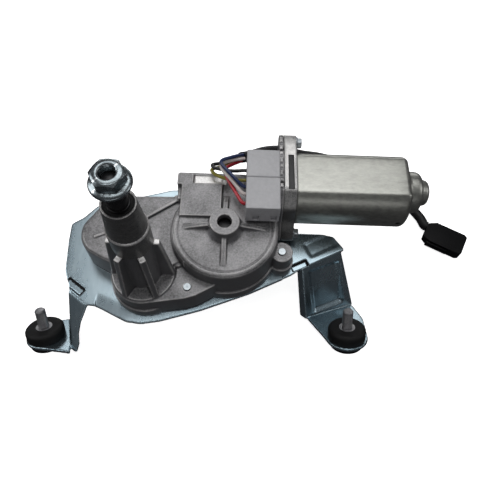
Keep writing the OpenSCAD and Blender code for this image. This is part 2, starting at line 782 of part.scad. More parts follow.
module magnets() {
    color("#4a4c50") from_base() for (s = [1, -1]) intersection() {
        difference() {
            on_motor(100) cylinder(h = 34, r = can_d / 2 - 1.8, $fn = 96);
            on_motor(99) cylinder(h = 36, r = 13.8);
        }
        translate([99, motor_y + (s > 0 ? 7 : -27), motor_z - 12]) cube([36, 20, 24]);
    }
}

module bearing(x, long, outer) {
    color("#a88449") from_base() difference() {
        on_motor(x) cylinder(h = long, r = outer);
        on_motor(x - 1) cylinder(h = long + 2, d = 6.1);
    }
}

module rear_bearing() {
    bearing(can_x + can_len - 1.8, 6.6, 9.3);
}

module middle_bearing() {
    bearing(68, 8, 7);
}

module tip_bearing() {
    bearing(18.4, 3.4, 4.5);
}

module thrust_ball() {
    color("#c5c8cc") from_base() {
        translate([can_x + can_len + 11.55, motor_y, motor_z]) sphere(r = 1, $fn = 32);
        translate([16.45, motor_y, motor_z]) sphere(r = 0.5, $fn = 32);
    }
}

// ---------- connectors and wires ----------

module terminal_socket() {
    color("#c9c9cc") from_base() difference() {
        translate([54.5, 27, 13]) cube([18.5, 20, 14]);
        for (x = [58.6, 68.4]) translate([x, 26, 14.2]) cube([3.2, 3, 4.4]);
    }
}

module harness_plug() {
    color("#cfcfd2") from_base() {
        translate([54.5, 47.1, 13]) cube([18.5, 18.4, 14]);
    }
}

module wire_red() {
    color("#c01f2c") from_base() tube(route_red, wire_d);
}

module wire_white() {
    color("#dcd8d0") from_base() tube(route_white, wire_d);
}

module wire_blue() {
    color("#1b2a4f") from_base() tube(route_blue, wire_d);
}

module wire_yellow() {
    color("#a79a2a") from_base() tube(route_yellow, wire_d);
}

module wire_black() {
    color("#1c1c1e") from_base() tube(route_black, wire_d);
}

module cable_sheath() {
    color("#131315") from_base() tube(route_sheath, sheath_d);
}

module on_connector() {
    translate(connector_at) rotate([0, 0, connector_yaw]) children();
}

module cable_connector() {
    long = connector_size[0];
    wide = connector_size[1];
    high = connector_size[2];
    color("#121214") from_base() on_connector() difference() {
        union() {
            translate([0, 0, -high / 2]) linear_extrude(high) polygon(soft_outline([[0, -wide / 2],
                [0, wide / 2], [long, wide / 2], [long, -wide / 2]], 1, 3));
        }
        translate([3, -wide / 2 - 1, -2.6]) cube([long - 11, 2.2, 5.2]);
        for (k = [-2:2]) translate([long - 6, k * 3 - 0.9, -1.6]) cube([7, 1.8, 3.2]);
    }
}

module connector_latch() {
    color("#1a1a1c") from_base() on_connector() translate([3.2, -connector_size[1] / 2, 0]) {
        translate([0, -1.3, -2.2]) cube([15, 1.3, 4.4]);
        translate([0, -1.3, -2.2]) cube([2.4, 2.5, 4.4]);
    }
}

module connector_terminals() {
    color("#c2a55a") from_base() on_connector() for (k = [-2:2])
        translate([connector_size[0] - 6, k * 3 - 0.6, -1.2]) cube([5, 1.2, 2.4]);
}

gear_housing();
housing_cover();
housing_screws();
housing_gasket();
mounting_bracket();
grommet_left();
grommet_right();
sleeve_left();
sleeve_right();
stud_left();
stud_right();
worm_wheel();
wheel_axle();
crank_pin();
park_disc();
park_contacts();
contact_carrier();
connecting_rod();
sector_gear();
sector_pin();
lever_pin();
output_pinion();
output_shaft();
lower_bush();
upper_bush();
thrust_washer();
retaining_ring();
shaft_seal();
flange_nut();
motor_can();
end_plate();
motor_screws();
magnets();
brush_holder();
carbon_brushes();
brush_springs();
choke_coils();
commutator();
armature_shaft();
worm();
armature_core();
armature_windings();
rear_bearing();
middle_bearing();
tip_bearing();
thrust_ball();
terminal_socket();
harness_plug();
wire_red();
wire_white();
wire_blue();
wire_yellow();
wire_black();
cable_sheath();
cable_connector();
connector_latch();
connector_terminals();
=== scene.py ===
"""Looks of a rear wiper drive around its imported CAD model.

Casting, bracket, feet, tower, nut, motor and wiring. Places are in mm from the centre of the
tower's foot, and at() turns them into metres in the shared frame.
"""

import json
import math

import bmesh
import bpy
import numpy as np
from mathutils import Matrix, Vector


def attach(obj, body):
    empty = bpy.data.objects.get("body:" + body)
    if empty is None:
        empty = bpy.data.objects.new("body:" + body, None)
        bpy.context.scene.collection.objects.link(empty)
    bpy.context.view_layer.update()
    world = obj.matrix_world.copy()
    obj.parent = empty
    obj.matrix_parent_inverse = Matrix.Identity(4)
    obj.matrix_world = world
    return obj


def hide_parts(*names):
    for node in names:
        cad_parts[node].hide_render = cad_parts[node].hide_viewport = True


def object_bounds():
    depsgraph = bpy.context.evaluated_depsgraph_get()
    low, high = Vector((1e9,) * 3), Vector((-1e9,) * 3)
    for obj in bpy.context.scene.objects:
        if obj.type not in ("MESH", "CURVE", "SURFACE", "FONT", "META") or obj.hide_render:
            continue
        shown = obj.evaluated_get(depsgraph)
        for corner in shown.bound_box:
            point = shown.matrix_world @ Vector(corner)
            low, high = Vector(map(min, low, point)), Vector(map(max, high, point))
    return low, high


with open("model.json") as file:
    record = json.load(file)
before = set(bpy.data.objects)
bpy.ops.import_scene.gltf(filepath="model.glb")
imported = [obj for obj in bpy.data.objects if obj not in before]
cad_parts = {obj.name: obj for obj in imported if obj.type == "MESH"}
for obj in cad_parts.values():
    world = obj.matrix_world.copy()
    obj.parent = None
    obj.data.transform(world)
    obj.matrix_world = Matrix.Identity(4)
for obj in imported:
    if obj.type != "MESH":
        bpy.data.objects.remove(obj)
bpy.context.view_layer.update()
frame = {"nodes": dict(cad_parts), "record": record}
NODES = frame["nodes"]

MM = 0.001
BASE_Z = -45.5  # height of the tower's foot in the row frame, mm
FOOT = np.array([0, 0, BASE_Z])
FLOOR_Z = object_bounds()[0][2]
TAU = 2 * math.pi


def at(x, y, z):
    """A point given in mm from the tower's foot, in the row frame in metres."""
    return Vector((x, y, z + BASE_Z)) * MM


# ---------------------------------------------------------------- camera and light


def make_camera():
    data = bpy.data.cameras.new("camera")
    data.lens, data.sensor_width = 37.62, 36
    data.clip_start, data.clip_end = 0.01, 20
    camera = bpy.data.objects.new("camera", data)
    right = Vector((0.99939, 0.02467, 0.02453))
    up = Vector((-0.03305, 0.89318, 0.44848))
    back = right.cross(up).normalized()
    up = back.cross(right).normalized()
    turn = Matrix((right, up, back)).transposed().to_4x4()
    camera.matrix_world = Matrix.Translation(at(51.3, -110.6, 258.4)) @ turn
    bpy.context.scene.collection.objects.link(camera)
    bpy.context.scene.camera = camera


def area_light(name, place, target, size, power, ratio):
    data = bpy.data.lights.new(name, "AREA")
    data.shape, data.size, data.size_y = "RECTANGLE", size, size * ratio
    data.energy = power
    lamp = bpy.data.objects.new(name, data)
    lamp.location = place
    lamp.rotation_euler = (Vector(target) - Vector(place)).to_track_quat("-Z", "Y").to_euler()
    bpy.context.scene.collection.objects.link(lamp)


MIDDLE = (0.06, 0.02, -0.04)  # what most lamps face, m
# Lamps: name, place, target, width, power, height as a share of the width
LAMPS = [
    ("softbox_top", (0.10, 0.36, 0.66), MIDDLE, 0.68, 2.4, 0.62),
    ("softbox_left", (-0.60, 0.10, 0.36), MIDDLE, 0.32, 1.5, 1.5),
    ("strip_front", (0.10, -0.72, 0.22), MIDDLE, 0.7, 0.42, 0.2),
    ("strip_right", (0.70, 0.05, 0.30), MIDDLE, 0.28, 0.6, 1.5),
    ("strip_top", (0.02, -0.07, 0.62), (0.02, -0.02, -0.06), 0.5, 0.5, 0.25),
    ("card_back", (0.02, 0.80, -0.02), (0.02, 0.0, -0.08), 1.0, 1.5, 0.15),
]


def make_world():
    """A dim room, lighter overhead, so that bare metal mirrors a gradient."""
    world = bpy.data.worlds.new("studio")
    world.use_nodes = True
    tree = world.node_tree
    background = tree.nodes["Background"]
    coords = tree.nodes.new("ShaderNodeTexCoord")
    split = tree.nodes.new("ShaderNodeSeparateXYZ")
    ramp = tree.nodes.new("ShaderNodeValToRGB")
    ramp.color_ramp.elements[0].position = 0.40
    ramp.color_ramp.elements[0].color = (0.045, 0.045, 0.048, 1)
    ramp.color_ramp.elements[1].position = 0.95
    ramp.color_ramp.elements[1].color = (0.16, 0.16, 0.165, 1)
    scale = tree.nodes.new("ShaderNodeMapRange")
    scale.inputs["From Min"].default_value = -1
    tree.links.new(coords.outputs["Generated"], split.inputs[0])
    tree.links.new(split.outputs["Z"], scale.inputs["Value"])
    tree.links.new(scale.outputs[0], ramp.inputs[0])
    tree.links.new(ramp.outputs[0], background.inputs["Color"])
    bpy.context.scene.world = world


def make_floor():
    """White paper, which the metal neither mirrors nor takes light from."""
    bpy.ops.mesh.primitive_plane_add(size=8, location=(0, 0, FLOOR_Z))
    floor = bpy.context.object
    floor.name = "floor"
    material = bpy.data.materials.new("floor_paper")
    material.use_nodes = True
    shader = material.node_tree.nodes["Principled BSDF"]
    shader.inputs["Base Color"].default_value = (0.93, 0.93, 0.93, 1)
    shader.inputs["Roughness"].default_value = 0.9
    shader.inputs["Specular IOR Level"].default_value = 0.0
    shader.inputs["Emission Color"].default_value = (1, 1, 1, 1)
    shader.inputs["Emission Strength"].default_value = 0.86
    floor.data.materials.append(material)
    floor.visible_glossy = False
    floor.visible_diffuse = False


make_camera()
for lamp in LAMPS:
    area_light(*lamp)
make_world()
make_floor()
bpy.context.scene.view_settings.view_transform = "Standard"

# ---------------------------------------------------------------- materials


def surface(
    name,
    dark,
    light,
    rough,
    metallic=0.0,
    grain=1200,
    blotch=90,
    blotch_share=0.35,
    rough_spread=0.08,
    bump=0.15,
    bump_size=0.00012,
    stretch=(1, 1, 1),
    wall=None,
    wear_and_highlight=None,
    wear_and_highlight_from=0.53,
    crevice=None,
    specular=0.5,
):
    """A procedural material: two scales of noise mix dark and light, and drive roughness and bump.
    wall is painted shade, the colour given to faces that don't look up; worn is the colour along
    convex edges, partly wear and partly painted highlight; crevice is painted shade, the share of
    light left in concave ones."""
    material = bpy.data.materials.new(name)
    material.use_nodes = True
    tree = material.node_tree
    shader = tree.nodes["Principled BSDF"]
    link = tree.links.new

    def node(kind, **values):
        made = tree.nodes.new(kind)
        for key, value in values.items():
            made.inputs[key].default_value = value
        return made

    def mix(factor, a, b):
        made = tree.nodes.new("ShaderNodeMix")
        made.data_type = "RGBA"
        for socket, value in ((0, factor), (6, a), (7, b)):
            if hasattr(value, "is_output"):
                link(value, made.inputs[socket])
            else:
                made.inputs[socket].default_value = value
        return made.outputs[2]

    coords = tree.nodes.new("ShaderNodeTexCoord")
    mapping = node("ShaderNodeMapping", Scale=stretch)
    link(coords.outputs["Object"], mapping.inputs["Vector"])
    fine = node("ShaderNodeTexNoise", Scale=grain, Detail=3.0, Roughness=0.65)
    broad = node("ShaderNodeTexNoise", Scale=blotch, Detail=4.0, Roughness=0.6)
    for texture in (fine, broad):
        link(mapping.outputs[0], texture.inputs["Vector"])
    grey = tree.nodes.new("ShaderNodeMix")
    grey.inputs[0].default_value = blotch_share
    link(fine.outputs["Fac"], grey.inputs[2])
    link(broad.outputs["Fac"], grey.inputs[3])
    ramp = tree.nodes.new("ShaderNodeValToRGB")
    ramp.color_ramp.elements[0].position, ramp.color_ramp.elements[1].position = 0.36, 0.64
    ramp.color_ramp.elements[0].color = (*dark, 1)
    ramp.color_ramp.elements[1].color = (*light, 1)
    link(grey.outputs[0], ramp.inputs[0])
    colour = ramp.outputs[0]
    # Painted shade: faces that don't look up are mixed toward the darker wall colour
    if wall is not None:
        split = tree.nodes.new("ShaderNodeSeparateXYZ")
        link(coords.outputs["Normal"], split.inputs[0])
        upness = node("ShaderNodeMapRange", **{"From Min": 0.25, "From Max": 0.85})
        link(split.outputs["Z"], upness.inputs["Value"])
        shade = mix(0.5, colour, (*wall, 1))
        walls = mix(0.75, shade, (*wall, 1))
        colour = mix(upness.outputs[0], walls, colour)
    # Lighter colour on convex edges, in patches: partly wear, partly painted highlight
    if wear_and_highlight is not None:
        geometry = tree.nodes.new("ShaderNodeNewGeometry")
        edge = node("ShaderNodeMapRange", **{"From Min": wear_and_highlight_from, "From Max": wear_and_highlight_from + 0.05})
        link(geometry.outputs["Pointiness"], edge.inputs["Value"])
        patchy = tree.nodes.new("ShaderNodeMath")
        patchy.operation = "MULTIPLY"
        link(edge.outputs[0], patchy.inputs[0])
        link(broad.outputs["Fac"], patchy.inputs[1])
        colour = mix(patchy.outputs[0], colour, (*wear_and_highlight, 1))
    # Painted shade: concave edges keep only the crevice share of their colour
    if crevice is not None:
        hollow = tree.nodes.new("ShaderNodeNewGeometry")
        depth = node(
            "ShaderNodeMapRange", **{"From Min": 0.44, "From Max": 0.49, "To Min": crevice}
        )
        link(hollow.outputs["Pointiness"], depth.inputs["Value"])
        crevice_shade = tree.nodes.new("ShaderNodeVectorMath")
        crevice_shade.operation = "SCALE"
        link(colour, crevice_shade.inputs[0])
        link(depth.outputs[0], crevice_shade.inputs["Scale"])
        colour = crevice_shade.outputs[0]
    link(colour, shader.inputs["Base Color"])
    spread = node(
        "ShaderNodeMapRange",
        **{"From Min": 0.3, "From Max": 0.7},
        **{"To Min": rough - rough_spread, "To Max": rough + rough_spread},
    )
    link(grey.outputs[0], spread.inputs["Value"])
    link(spread.outputs[0], shader.inputs["Roughness"])
    relief = node("ShaderNodeBump", Strength=bump, Distance=bump_size)
    link(grey.outputs[0], relief.inputs["Height"])
    link(relief.outputs[0], shader.inputs["Normal"])
    shader.inputs["Metallic"].default_value = metallic
    shader.inputs["Specular IOR Level"].default_value = specular
    return material


# Every solid look; the arguments are those of surface()
# wall and crevice give painted shade, and the edge colour is partly wear and partly painted
# highlight
LOOKS = {
    "cast_aluminium": dict(
        dark=(0.09, 0.09, 0.092), light=(0.325, 0.32, 0.327), rough=0.42, metallic=0.55,
        grain=950, blotch=70, blotch_share=0.5, rough_spread=0.1, bump=0.7, bump_size=0.00025,
        wall=(0.17, 0.17, 0.178), wear_and_highlight=(1.0, 0.98, 0.96), wear_and_highlight_from=0.506, crevice=0.15,
    ),
    "machined_aluminium": dict(
        dark=(0.08, 0.08, 0.08), light=(0.26, 0.257, 0.255), rough=0.36, metallic=0.8,
        grain=1600, blotch=260, blotch_share=0.3, rough_spread=0.1, bump=0.4, bump_size=0.00015,
        stretch=(1, 1, 4), wear_and_highlight=(0.9, 0.88, 0.85), wear_and_highlight_from=0.535,
    ),
    "turned_aluminium": dict(
        dark=(0.55, 0.54, 0.53), light=(0.8, 0.79, 0.78), rough=0.42, metallic=0.75, grain=900,
        blotch=300, blotch_share=0.3, rough_spread=0.08, bump=0.2, bump_size=0.0001,
    ),
    "bore_shadow": dict(
        dark=(0.004, 0.004, 0.004), light=(0.012, 0.012, 0.012), rough=0.55, specular=0.2,
    ),
    "cover_steel": dict(
        dark=(0.3, 0.31, 0.32), light=(0.45, 0.46, 0.47), rough=0.4, metallic=0.9, grain=700,
        blotch=60,
    ),
    "bright_zinc": dict(
        dark=(0.2, 0.225, 0.24), light=(0.42, 0.45, 0.47), rough=0.3, metallic=1.0, grain=900,
        blotch=150, blotch_share=0.5, rough_spread=0.06, bump=0.12, bump_size=0.00008,
    ),
    "nut_zinc": dict(
        dark=(0.13, 0.155, 0.165), light=(0.33, 0.37, 0.39), rough=0.24, metallic=1.0, grain=700,
        blotch=140, blotch_share=0.5, rough_spread=0.07, bump=0.15, bump_size=0.0001,
        wear_and_highlight=(0.9, 0.93, 0.95), wear_and_highlight_from=0.53,
    ),
    "rubber_black": dict(
        dark=(0.003, 0.003, 0.003), light=(0.009, 0.009, 0.0095), rough=0.6, metallic=0.0,
        grain=1800, blotch=200, blotch_share=0.3, rough_spread=0.12, bump=0.3, bump_size=0.0001,
        specular=0.22,
    ),
    "zinc_sheet": dict(
        dark=(0.22, 0.29, 0.33), light=(0.37, 0.45, 0.49), rough=0.27, metallic=0.95, grain=420,
        blotch=24, blotch_share=0.75, rough_spread=0.035, bump=0.04, bump_size=0.00005,
        stretch=(1, 0.35, 1), wear_and_highlight=(0.9, 0.95, 0.97), wear_and_highlight_from=0.56,
    ),
    "plain_steel": dict(
        dark=(0.2, 0.2, 0.21), light=(0.37, 0.37, 0.38), rough=0.38, metallic=0.9, grain=1500,
        blotch=200, blotch_share=0.4, rough_spread=0.1, bump=0.2, bump_size=0.0001,
    ),
    "black_steel": dict(
        dark=(0.008, 0.008, 0.009), light=(0.03, 0.03, 0.032), rough=0.36, metallic=0.5,
        grain=1600, blotch=220, blotch_share=0.4, rough_spread=0.1, bump=0.2, bump_size=0.0001,
    ),
    "nylon_cream": dict(
        dark=(0.7, 0.67, 0.56), light=(0.82, 0.79, 0.68), rough=0.45, metallic=0.0, grain=600,
        blotch=60,
    ),
    "brass": dict(
        dark=(0.5, 0.34, 0.12), light=(0.72, 0.54, 0.24), rough=0.3, metallic=1.0, grain=900,
        blotch=90,
    ),
    "bronze": dict(
        dark=(0.34, 0.2, 0.08), light=(0.52, 0.35, 0.17), rough=0.5, metallic=0.9, grain=2500,
        blotch=200, bump=0.4,
    ),
    "black_plastic": dict(
        dark=(0.012, 0.012, 0.013), light=(0.03, 0.03, 0.032), rough=0.5,
    ),
    "can_steel": dict(
        dark=(0.26, 0.263, 0.242), light=(0.43, 0.433, 0.402), rough=0.36, metallic=0.92,
        grain=650, blotch=40, blotch_share=0.5, rough_spread=0.07, bump=0.12, bump_size=0.0001,
        stretch=(0.45, 1, 1),
    ),
    "die_cast_zinc": dict(
        dark=(0.16, 0.16, 0.16), light=(0.44, 0.435, 0.43), rough=0.42, metallic=0.8, grain=1300,
        blotch=250, blotch_share=0.4, rough_spread=0.1, bump=0.5, bump_size=0.0002,
        wall=(0.12, 0.12, 0.12), wear_and_highlight=(0.7, 0.69, 0.67),
    ),
    "ferrite": dict(
        dark=(0.04, 0.04, 0.045), light=(0.09, 0.09, 0.1), rough=0.55,
    ),
    "carbon": dict(
        dark=(0.025, 0.025, 0.028), light=(0.06, 0.06, 0.065), rough=0.5,
    ),
    "copper": dict(
        dark=(0.45, 0.16, 0.06), light=(0.7, 0.34, 0.16), rough=0.35, metallic=1.0, grain=1500,
        blotch=200,
    ),
    "laminated_steel": dict(
        dark=(0.18, 0.18, 0.19), light=(0.36, 0.36, 0.37), rough=0.45, metallic=0.9, grain=1500,
        blotch=200, stretch=(4, 1, 1),
    ),
    "grey_plastic": dict(
        dark=(0.38, 0.38, 0.395), light=(0.45, 0.45, 0.465), rough=0.42, metallic=0.0, grain=500,
        blotch=45, blotch_share=0.5, rough_spread=0.06, bump=0.12, bump_size=0.00006,
    ),
    "sheath_black": dict(
        dark=(0.006, 0.006, 0.007), light=(0.014, 0.014, 0.015), rough=0.5, metallic=0.0,
        grain=900, blotch=120, blotch_share=0.4, rough_spread=0.1, bump=0.3, bump_size=0.0001,
        specular=0.25,
    ),
    "connector_black": dict(
        dark=(0.002, 0.002, 0.0024), light=(0.005, 0.005, 0.006), rough=0.5, metallic=0.0,
        grain=1500, blotch=150, blotch_share=0.3, rough_spread=0.08, bump=0.2, bump_size=0.00006,
        specular=0.1,
    ),
}
MATERIALS = {name: surface(name, **look) for name, look in LOOKS.items()}
WIRE_COLOURS = {
    "wire_red": ((0.36, 0.008, 0.02), (0.5, 0.015, 0.03)),
    "wire_white": ((0.6, 0.52, 0.5), (0.72, 0.66, 0.64)),
    "wire_blue": ((0.008, 0.018, 0.07), (0.016, 0.032, 0.11)),
    "wire_yellow": ((0.2, 0.18, 0.02), (0.36, 0.32, 0.06)),
    "wire_black": ((0.008, 0.008, 0.009), (0.016, 0.016, 0.018)),
}
for wire, (low, high) in WIRE_COLOURS.items():
    MATERIALS[wire] = surface(wire, low, high, rough=0.32, grain=900, blotch=120, blotch_share=0.5,
                              rough_spread=0.05, bump=0.1, bump_size=0.00005)

SLOTS = {s["node"]: s["material_slot"] for s in frame["record"]["subparts"]}

# ---------------------------------------------------------------- mesh helpers


def piece(name, mesh, slot, body="housing", replaces=(), materials=None, smooth=40):
    """A new object on a body. smooth is the angle in degrees under which edges are shaded round."""
    thing = bpy.data.objects.new(name, mesh)
    bpy.context.scene.collection.objects.link(thing)
    for material in materials or [MATERIALS[slot]]:
        mesh.materials.append(material)
    if smooth:
        mesh.shade_smooth()
        mesh.set_sharp_from_angle(angle=math.radians(smooth))
    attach(thing, body)
    if replaces:
        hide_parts(*replaces)
    return thing


def grid_mesh(name, rings, closed=False, caps=True):
    """A mesh through rings of points, each an (n, 3) array in metres, joined around and along."""
    rings = np.asarray(rings, float)
    count, sides = rings.shape[:2]
    faces = []
    for i in range(count if closed else count - 1):
        j = (i + 1) % count
        for k in range(sides):
            m = (k + 1) % sides
            faces.append((i * sides + k, i * sides + m, j * sides + m, j * sides + k))
    if caps and not closed:
        faces.append(tuple(range(sides - 1, -1, -1)))
        faces.append(tuple((count - 1) * sides + k for k in range(sides)))
    mesh = bpy.data.meshes.new(name)
    mesh.from_pydata([tuple(p) for p in rings.reshape(-1, 3)], [], faces)
    made = bmesh.new()
    made.from_mesh(mesh)
    bmesh.ops.remove_doubles(made, verts=made.verts, dist=1e-7)
    bmesh.ops.dissolve_degenerate(made, edges=made.edges, dist=1e-8)
    bmesh.ops.recalc_face_normals(made, faces=made.faces)
    made.to_mesh(mesh)
    made.free()
    return mesh


def lathe_rings(profile, sides, turn, shape=None):
    """Rings of a turned profile of (radius, height) in mm. shape(radius, height, angles) may
    change the radius."""
    angles = np.arange(sides) * TAU / sides
    rings = []
    for radius, height in profile:
        r = np.full(sides, float(radius)) if shape is None else shape(radius, height, angles)
        level = np.full(sides, float(height))
        points = np.stack([r * np.cos(angles), r * np.sin(angles), level], 1) * MM
        rings.append([turn @ Vector(p) for p in points])
    return np.array(rings, float)


def rounded(profile, cut=0.3, steps=3):
    """The profile with its corners rounded over a distance cut in mm."""
    out = [profile[0]]
    for before, corner, after in zip(profile, profile[1:], profile[2:]):
        a, b, c = (np.array(p, float) for p in (before, corner, after))
        to_a, to_c = np.linalg.norm(a - b), np.linalg.norm(c - b)
        near = min(cut, 0.45 * to_a, 0.45 * to_c)
        p, q = b + (a - b) / to_a * near, b + (c - b) / to_c * near
        for i in range(steps + 1):
            t = i / steps
            out.append(tuple(p * (1 - t) ** 2 + b * 2 * t * (1 - t) + q * t * t))
    out.append(profile[-1])
    return out


def lathe(name, profile, slot, turn, body="housing", replaces=(), sides=96, shape=None, cut=0.3,
          closed=False):
    """A turned piece. cut is how far its corners are rounded, in mm."""
    rings = lathe_rings(rounded(profile, cut) if cut else profile, sides, turn, shape)
    return piece(name, grid_mesh(name, rings, closed=closed), slot, body, replaces)


def thread(low, high, outer, pitch, per_turn=8):
    """Profile points of a thread's stretch; the helix itself comes from thread_shape."""
    steps = max(2, int(round((high - low) / pitch * per_turn)))
    return [(outer, low + (high - low) * i / steps) for i in range(steps + 1)]


def helix(height, angles, pitch):
    """Depth of a right-hand thread round one ring, 0 on its crest and 1 in its groove."""
    return np.abs(((height / pitch - angles / TAU) % 1.0) * 2 - 1)


def thread_shape(low, high, pitch, depth):
    """Cuts a helical groove between two heights, fading out over a turn at each end."""

    def shape(radius, height, angles):
        r = np.full(len(angles), float(radius))
        if low <= height <= high:
            fade = min(1.0, (height - low) / pitch, (high - height) / pitch)
            r += -depth * helix(height, angles, pitch) * max(fade, 0)
        return r

    return shape


def welded_copy(node):
    """A copy of a CAD node's mesh with its split vertices joined."""
    mesh = NODES[node].data.copy()
    mesh.materials.clear()
    made = bmesh.new()
    made.from_mesh(mesh)
    bmesh.ops.remove_doubles(made, verts=made.verts, dist=1e-6)
    made.to_mesh(mesh)
    made.free()
    return mesh


def evaluated(thing):
    """The mesh of an object with its modifiers applied; the object is removed."""
    graph = bpy.context.evaluated_depsgraph_get()
    mesh = bpy.data.meshes.new_from_object(thing.evaluated_get(graph))
    bpy.data.objects.remove(thing)
    return mesh


def holder(mesh):
    """A passing object, for modifiers to work on."""
    thing = bpy.data.objects.new("working", mesh)
    bpy.context.scene.collection.objects.link(thing)
    return thing


def bevelled(name, node, width, segments=3):
    """A CAD node's shape on the housing, with its triangles merged and its edges rounded."""
    mesh = welded_copy(node)
    made = bmesh.new()
    made.from_mesh(mesh)
    bmesh.ops.dissolve_limit(made, angle_limit=math.radians(1.0), verts=made.verts,
                             edges=made.edges, delimit={"NORMAL"})
    made.to_mesh(mesh)
    made.free()
    thing = holder(mesh)
    edge = thing.modifiers.new("edge", "BEVEL")
    edge.width, edge.segments = width * MM, segments
    edge.limit_method, edge.angle_limit = "ANGLE", math.radians(28)
    edge.use_clamp_overlap = True
    return piece(name, evaluated(thing), SLOTS[node], "housing", (node,), smooth=35)


def fused(mesh, voxel, smoothing, snug=False):
    """Voxel skin, relaxed so that every edge gets a small radius. snug lays it back onto the mesh
    first."""
    original = holder(mesh.copy())
    thing = holder(mesh)
    skin = thing.modifiers.new("skin", "REMESH")
    skin.mode, skin.voxel_size, skin.use_smooth_shade = "VOXEL", voxel * MM, True
    if snug:
        wrap = thing.modifiers.new("wrap", "SHRINKWRAP")
        wrap.target, wrap.wrap_method = original, "NEAREST_SURFACEPOINT"
    relax = thing.modifiers.new("relax", "SMOOTH")
    relax.factor, relax.iterations = 0.5, smoothing
    result = evaluated(thing)
    bpy.data.objects.remove(original)
    return result


def coordinates(mesh):
    flat = np.zeros(len(mesh.vertices) * 3)
    mesh.vertices.foreach_get("co", flat)
    return flat.reshape(-1, 3)


def set_coordinates(mesh, points):
    mesh.vertices.foreach_set("co", np.ascontiguousarray(points).ravel())
    mesh.update()


def in_foot_mm(mesh):
    """Vertex places in mm from the tower's foot."""
    return coordinates(mesh) / MM - FOOT


def face_centres(mesh):
    """Centres of the faces in mm from the tower's foot."""
    flat = np.zeros(len(mesh.polygons) * 3)
    mesh.polygons.foreach_get("center", flat)
    return flat.reshape(-1, 3) / MM - FOOT


def store_foot_mm(mesh, points):
    set_coordinates(mesh, (points + FOOT) * MM)


def ease(t):
    """A step from 0 to 1 with soft ends."""
    t = np.clip(t, 0, 1)
    return t * t * (3 - 2 * t)


def pressed(p, origin, along, across, size, depth, blend=1.4, reach=4.0):
    """Presses a rectangle into a sheet: points near the plane through origin move along its
    normal by depth mm. size is the half length along and half width across."""
    u = np.array(along, float) / np.linalg.norm(along)
    normal = np.cross(u, across)
    normal /= np.linalg.norm(normal)
    v = np.cross(normal, u)
    off = p - np.array(origin, float)
    a, b, h = off @ u, off @ v, off @ normal
    lengthwise = ease((size[0] - np.abs(a)) / blend + 0.5)
    crosswise = ease((size[1] - np.abs(b)) / blend + 0.5)
    window = lengthwise * crosswise
    return p + np.outer(window * depth * (np.abs(h) < reach), normal)


def distance_to(outline, p):
    """Distance of each point from an outline with soft corners, seen from above, and the direction
    to the left of the nearest stretch."""
    line = np.array(rounded(outline, 3, 5), float)
    near = np.full(len(p), np.inf)
    left = np.zeros((len(p), 2))
    for a, b in zip(line, line[1:]):
        t = np.clip(((p[:, :2] - a) @ (b - a)) / ((b - a) @ (b - a)), 0, 1)
        gap = np.linalg.norm(p[:, :2] - (a + np.outer(t, b - a)), axis=1)
        closer = gap < near
        near[closer] = gap[closer]
        left[closer] = np.array([a[1] - b[1], b[0] - a[0]]) / np.linalg.norm(b - a)
    return near, left


# ---------------------------------------------------------------- wires and sheath

# Centre lines from end to end, mm from the tower's foot
ROUTES = {
    "wire_red": [
        (54.5, 36.2, 16.5), (52.8, 36.2, 16.5), (50, 41, 16.4), (47.1, 46.2, 16.4),
        (44.4, 51, 16.4), (42.6, 55.6, 16.4), (42.6, 59.2, 16.4), (44.6, 61.6, 15.6),
        (47.2, 64, 14.4), (49.4, 66, 13.2), (51.5, 67.9, 12.1),
    ],
    "wire_white": [
        (54.5, 41.7, 17.5), (52.9, 41.7, 17.5), (49.3, 45.6, 18.9), (45.9, 49.3, 20.2),
        (42.3, 53.2, 20.8), (39.9, 56.8, 20.9), (40.6, 59.8, 20.1), (43.2, 61.8, 19.2),
        (46.4, 63.9, 17.8), (49.8, 66.2, 15.9), (53, 68.3, 13.9),
    ],
    "wire_blue": [
        (54.5, 45.1, 19.5), (52.9, 45.1, 19.5), (49.1, 47.9, 21.8), (45.5, 51.3, 22.8),
        (42.1, 55.1, 23.2), (39.8, 58.2, 23.2), (40.8, 60.6, 22.6), (43.6, 62.6, 21.4),
        (46.4, 64.9, 19.8), (49.4, 67.6, 17.6), (52.2, 70.2, 15),
    ],
    "wire_yellow": [
        (54.5, 52, 15.5), (52.7, 52, 15.5), (48.4, 52.6, 14.4), (44, 53.4, 14), (39.6, 54.9, 14),
        (35.6, 56.8, 14.4), (34.2, 59.4, 14.4), (37, 61, 13.8), (41.4, 63.4, 13),
        (46, 66.6, 12.4), (49.9, 69.6, 12.1),
    ],
    "wire_black": [
        (54.5, 55.6, 20), (52.6, 55.6, 20), (48.3, 55.4, 19.4), (43.9, 56, 18.8),
        (39.4, 57, 18.6), (35.8, 58, 18.4), (34.6, 60.4, 17.8), (37.2, 61.8, 16.6),
        (41.4, 64, 15.5), (46, 67.2, 14.7), (50.3, 71, 13.9),
    ],
    "cable_sheath": [
        (51.4, 69.4, 13.4), (55.5, 73.4, 9.2), (59.6, 77, 6.6), (64.8, 80.8, 4.2),
        (70.4, 83.4, 2.2), (76.6, 84.8, 0.6), (83, 85.2, -1.8), (90, 85.2, -3.8),
        (99, 85.2, -5.2), (108, 85, -7.6), (118, 85, -11), (128, 85, -15.6), (138, 85.2, -21.4),
        (147, 85.4, -28.6), (154.6, 85.8, -36.4), (161, 85.6, -43.8), (166.2, 83.6, -49.2),
        (170.8, 79.8, -50.75), (175.2, 74.4, -50.75), (178.6, 69, -50.75), (180.6, 63.9, -50.75),
        (182.2, 63.1, -50.75),
    ],
}
# Diameters of the wires and of the sheath, mm
WIRE_D, SHEATH_D = 2, 6.5
WIRE_ROUNDS = 10  # rounds of averaging that ease the bends of a thin wire


